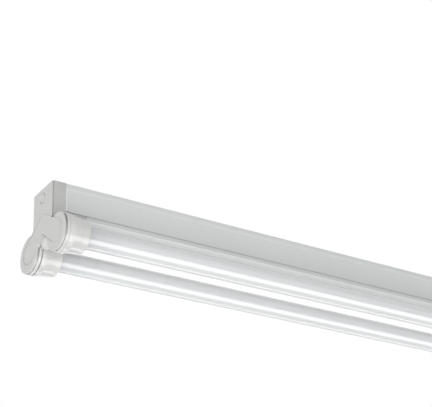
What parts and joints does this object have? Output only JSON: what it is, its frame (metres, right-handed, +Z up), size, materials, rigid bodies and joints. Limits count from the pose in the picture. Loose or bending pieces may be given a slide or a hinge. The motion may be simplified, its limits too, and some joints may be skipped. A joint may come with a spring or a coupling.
{
  "type": "linear light fixture",
  "caption": "Ceiling batten for two tubular lamps, with a folded spine, Y-shaped moulded end caps, lampholders sealed by screw rings, and a drop-down gear tray.",
  "frame": {"origin": "middle of the spine's top face, which lies on the ceiling, halfway between the two fixing slots", "axes": "+X along the lamps; +Z up into the ceiling; -Y is the side that the picture shows"},
  "size_m": [1.2288, 0.1164, 0.0936],
  "materials": {
    "paint_grey": "satin",
    "paint_white": "satin",
    "plastic_grey": "moulded satin",
    "plastic_white": "moulded",
    "rubber_grey": "matt",
    "tube_glass": "opal, coated inside",
    "stem_glass": "clear",
    "alloy": "drawn",
    "steel": "zinc plated",
    "brass": "plain",
    "board_green": "solder masked",
    "lead_white": "sheathed",
    "grommet_black": "matt"
  },
  "bodies": {
    "fixture": {"spine_channel": "paint_grey", "end_cap_left": "plastic_grey", "end_cap_right": "plastic_grey", "cap_screws": "steel", "entry_plug_left": "plastic_white", "entry_plug_right": "plastic_white", "holder_left_front": "plastic_white", "holder_left_rear": "plastic_white", "holder_right_front": "plastic_white", "holder_right_rear": "plastic_white", "contacts_left": "brass", "contacts_right": "brass", "leads_left": "lead_white", "leads_right": "lead_white", "lead_clips": "plastic_white", "lead_sockets": "plastic_white", "terminal_block": "plastic_white", "terminal_screws": "brass", "earth_stud": "brass", "cable_grommet": "grommet_black", "tray_anchor_left": "steel", "tray_anchor_right": "steel"},
    "tray": {"gear_tray": "paint_white", "tray_gasket": "rubber_grey", "ballast_case": "steel", "ballast_lid": "steel", "ballast_board": "board_green", "ballast_terminals": "plastic_white", "ballast_nuts": "steel"},
    "tray_screw_left": {"tray_screw_left": "steel", "screw_washer_left": "steel"},
    "tray_screw_right": {"tray_screw_right": "steel", "screw_washer_right": "steel"},
    "lamp_front": {"lamp_front_glass": "tube_glass", "lamp_front_ferrules": "alloy", "lamp_front_pins": "brass", "lamp_front_cathodes": "stem_glass", "lamp_front_rotors": "plastic_white"},
    "lamp_rear": {"lamp_rear_glass": "tube_glass", "lamp_rear_ferrules": "alloy", "lamp_rear_pins": "brass", "lamp_rear_cathodes": "stem_glass", "lamp_rear_rotors": "plastic_white"},
    "seal_left_front": {"seal_left_front": "rubber_grey"},
    "ring_left_front": {"ring_left_front": "plastic_white"},
    "seal_left_rear": {"seal_left_rear": "rubber_grey"},
    "ring_left_rear": {"ring_left_rear": "plastic_white"},
    "seal_right_front": {"seal_right_front": "rubber_grey"},
    "ring_right_front": {"ring_right_front": "plastic_white"},
    "seal_right_rear": {"seal_right_rear": "rubber_grey"},
    "ring_right_rear": {"ring_right_rear": "plastic_white"}
  },
  "joints": [
    {"name": "tray_drop", "type": "slide", "parent": "fixture", "child": "tray", "axis": [0, 0, -1], "range_m": [0, 0.0024]},
    {"name": "tray_screw_left_turn", "type": "hinge", "parent": "tray", "child": "tray_screw_left", "pos_m": [-0.5132, 0, -0.0456], "axis": [0, 0, -1], "range_deg": [0, 1080]},
    {"name": "tray_screw_right_turn", "type": "hinge", "parent": "tray", "child": "tray_screw_right", "pos_m": [0.5132, 0, -0.0456], "axis": [0, 0, -1], "range_deg": [0, 1080]},
    {"name": "lamp_front_turn", "type": "hinge", "parent": "fixture", "child": "lamp_front", "pos_m": [0, -0.035, -0.0704], "axis": [1, 0, 0], "range_deg": [0, 90]},
    {"name": "lamp_rear_turn", "type": "hinge", "parent": "fixture", "child": "lamp_rear", "pos_m": [0, 0.035, -0.0704], "axis": [1, 0, 0], "range_deg": [0, 90]},
    {"name": "seal_left_front_slide", "type": "slide", "parent": "fixture", "child": "seal_left_front", "axis": [1, 0, 0], "range_m": [0, 0.008]},
    {"name": "ring_left_front_turn", "type": "hinge", "parent": "seal_left_front", "child": "ring_left_front", "pos_m": [-0.5932, -0.035, -0.0704], "axis": [1, 0, 0], "range_deg": [0, 720]},
    {"name": "seal_left_rear_slide", "type": "slide", "parent": "fixture", "child": "seal_left_rear", "axis": [1, 0, 0], "range_m": [0, 0.008]},
    {"name": "ring_left_rear_turn", "type": "hinge", "parent": "seal_left_rear", "child": "ring_left_rear", "pos_m": [-0.5932, 0.035, -0.0704], "axis": [1, 0, 0], "range_deg": [0, 720]},
    {"name": "seal_right_front_slide", "type": "slide", "parent": "fixture", "child": "seal_right_front", "axis": [-1, 0, 0], "range_m": [0, 0.008]},
    {"name": "ring_right_front_turn", "type": "hinge", "parent": "seal_right_front", "child": "ring_right_front", "pos_m": [0.5932, -0.035, -0.0704], "axis": [-1, 0, 0], "range_deg": [0, 720]},
    {"name": "seal_right_rear_slide", "type": "slide", "parent": "fixture", "child": "seal_right_rear", "axis": [-1, 0, 0], "range_m": [0, 0.008]},
    {"name": "ring_right_rear_turn", "type": "hinge", "parent": "seal_right_rear", "child": "ring_right_rear", "pos_m": [0.5932, 0.035, -0.0704], "axis": [-1, 0, 0], "range_deg": [0, 720]}
  ],
  "couplings": [
    {"joint": "tray_screw_left_turn", "follows": "tray_drop", "rad_per_m": 7854},
    {"joint": "tray_screw_right_turn", "follows": "tray_drop", "rad_per_m": 7854},
    {"joint": "ring_left_front_turn", "follows": "seal_left_front_slide", "rad_per_m": 1570.8},
    {"joint": "ring_left_rear_turn", "follows": "seal_left_rear_slide", "rad_per_m": 1570.8},
    {"joint": "ring_right_front_turn", "follows": "seal_right_front_slide", "rad_per_m": 1570.8},
    {"joint": "ring_right_rear_turn", "follows": "seal_right_rear_slide", "rad_per_m": 1570.8}
  ]
}
